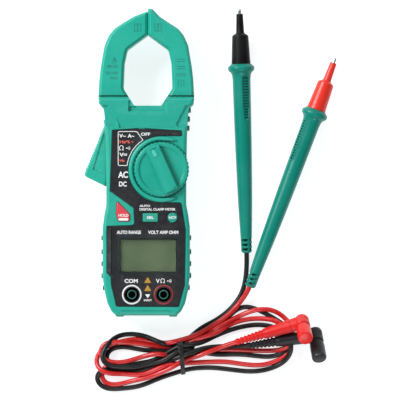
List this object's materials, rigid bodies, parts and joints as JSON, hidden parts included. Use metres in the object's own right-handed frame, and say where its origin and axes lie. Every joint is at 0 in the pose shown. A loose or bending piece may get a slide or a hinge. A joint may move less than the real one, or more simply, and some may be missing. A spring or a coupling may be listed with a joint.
{
  "type": "clamp meter",
  "caption": "Hand-held clamp meter with a hinged jaw and trigger, function dial, display, push buttons and jacks, beside a tied pair of probe leads with right-angle plugs.",
  "frame": {"origin": "on the flat back of the case, midway between the two jacks and 56.8 mm towards the jaw from them", "axes": "+Y towards the tip of the jaws, +Z out of the face, +X to the right as the face is read; the meter lies on its back"},
  "size_m": [0.1525, 0.2327, 0.0356],
  "materials": {
    "front_case": "fine moulded grain",
    "rear_case": "fine moulded grain",
    "face_plate": "fine moulded grain",
    "display_lens": "clear, smooth",
    "lcd_panel": "clear, smooth",
    "lcd_backlight": "fine moulded grain",
    "circuit_board": "fine moulded grain",
    "meter_chip": "fine moulded grain",
    "button_pad": "soft satin",
    "function_dial": "fine moulded grain",
    "dial_rotor": "fine moulded grain",
    "dial_contacts": "bright",
    "hold_button": "soft satin",
    "select_button": "soft satin",
    "ncv_button": "soft satin",
    "com_jack_cup": "fine moulded grain",
    "com_socket": "bright plate",
    "com_ring": "fine moulded grain",
    "volt_jack_cup": "fine moulded grain",
    "volt_socket": "bright plate",
    "volt_ring": "fine moulded grain",
    "moving_jaw_front": "fine moulded grain",
    "moving_jaw_rear": "fine moulded grain",
    "moving_core": "plain steel",
    "moving_coil": "bright",
    "fixed_jaw_front": "fine moulded grain",
    "fixed_jaw_rear": "fine moulded grain",
    "fixed_core": "plain steel",
    "fixed_coil": "bright",
    "trigger": "fine moulded grain",
    "pivot_pin": "plain steel",
    "jaw_spring": "plain steel",
    "battery_cover": "fine moulded grain",
    "batteries": "printed sleeve",
    "battery_contacts": "plain steel",
    "cover_screw": "plain steel",
    "case_screws": "plain steel",
    "black_probe_handle": "fine moulded grain",
    "black_probe_nose": "fine moulded grain",
    "black_probe_needle": "bright plate",
    "black_probe_cord": "soft satin",
    "red_probe_handle": "fine moulded grain",
    "red_probe_nose": "fine moulded grain",
    "red_probe_needle": "bright plate",
    "red_probe_cord": "soft satin",
    "lead_hank": "soft satin",
    "hank_tie": "fine moulded grain",
    "black_plug_cord": "soft satin",
    "black_plug_boot": "soft satin",
    "black_plug_body": "fine moulded grain",
    "black_plug_shroud": "fine moulded grain",
    "black_plug_pin": "bright",
    "black_plug_cap": "fine moulded grain",
    "red_plug_cord": "soft satin",
    "red_plug_boot": "soft satin",
    "red_plug_body": "fine moulded grain",
    "red_plug_shroud": "fine moulded grain",
    "red_plug_pin": "bright",
    "red_plug_cap": "fine moulded grain"
  },
  "bodies": {
    "meter": {"front_case": "front_case", "rear_case": "rear_case", "face_plate": "face_plate", "display_lens": "display_lens", "lcd_panel": "lcd_panel", "lcd_backlight": "lcd_backlight", "circuit_board": "circuit_board", "meter_chip": "meter_chip", "button_pad": "button_pad", "com_jack_cup": "com_jack_cup", "com_socket": "com_socket", "com_ring": "com_ring", "volt_jack_cup": "volt_jack_cup", "volt_socket": "volt_socket", "volt_ring": "volt_ring", "fixed_jaw_front": "fixed_jaw_front", "fixed_jaw_rear": "fixed_jaw_rear", "fixed_core": "fixed_core", "fixed_coil": "fixed_coil", "pivot_pin": "pivot_pin", "jaw_spring": "jaw_spring", "battery_cover": "battery_cover", "batteries": "batteries", "battery_contacts": "battery_contacts", "cover_screw": "cover_screw", "case_screws": "case_screws"},
    "moving_jaw": {"moving_jaw_front": "moving_jaw_front", "moving_jaw_rear": "moving_jaw_rear", "moving_core": "moving_core", "moving_coil": "moving_coil", "trigger": "trigger"},
    "dial": {"function_dial": "function_dial", "dial_rotor": "dial_rotor", "dial_contacts": "dial_contacts"},
    "hold_button": {"hold_button": "hold_button"},
    "select_button": {"select_button": "select_button"},
    "ncv_button": {"ncv_button": "ncv_button"},
    "test_leads": {"black_probe_handle": "black_probe_handle", "black_probe_nose": "black_probe_nose", "black_probe_needle": "black_probe_needle", "black_probe_cord": "black_probe_cord", "red_probe_handle": "red_probe_handle", "red_probe_nose": "red_probe_nose", "red_probe_needle": "red_probe_needle", "red_probe_cord": "red_probe_cord", "lead_hank": "lead_hank", "hank_tie": "hank_tie", "black_plug_cord": "black_plug_cord", "black_plug_boot": "black_plug_boot", "black_plug_body": "black_plug_body", "black_plug_shroud": "black_plug_shroud", "black_plug_pin": "black_plug_pin", "black_plug_cap": "black_plug_cap", "red_plug_cord": "red_plug_cord", "red_plug_boot": "red_plug_boot", "red_plug_body": "red_plug_body", "red_plug_shroud": "red_plug_shroud", "red_plug_pin": "red_plug_pin", "red_plug_cap": "red_plug_cap"}
  },
  "joints": [
    {"name": "jaw_open", "type": "hinge", "parent": "meter", "child": "moving_jaw", "pos_m": [-0.025, 0.0576, 0.016], "axis": [0, 0, 1], "range_deg": [0, 24], "stiffness_Nm_per_rad": 1.2, "springref_deg": -20.05, "deforming": ["jaw_spring"]},
    {"name": "dial_turn", "type": "hinge", "parent": "meter", "child": "dial", "pos_m": [0.0083, 0.0184, 0.028], "axis": [0, 0, 1], "range_deg": [0, 60]},
    {"name": "hold_press", "type": "slide", "parent": "meter", "child": "hold_button", "axis": [0, 0, -1], "range_m": [0, 0.001], "stiffness_N_per_m": 800, "springref_m": -0.0006},
    {"name": "select_press", "type": "slide", "parent": "meter", "child": "select_button", "axis": [0, 0, -1], "range_m": [0, 0.001], "stiffness_N_per_m": 800, "springref_m": -0.0006},
    {"name": "ncv_press", "type": "slide", "parent": "meter", "child": "ncv_button", "axis": [0, 0, -1], "range_m": [0, 0.001], "stiffness_N_per_m": 800, "springref_m": -0.0006},
    {"name": "leads_lift", "type": "slide", "parent": "meter", "child": "test_leads", "axis": [0, 0, 1], "range_m": [0, 0.06]}
  ]
}
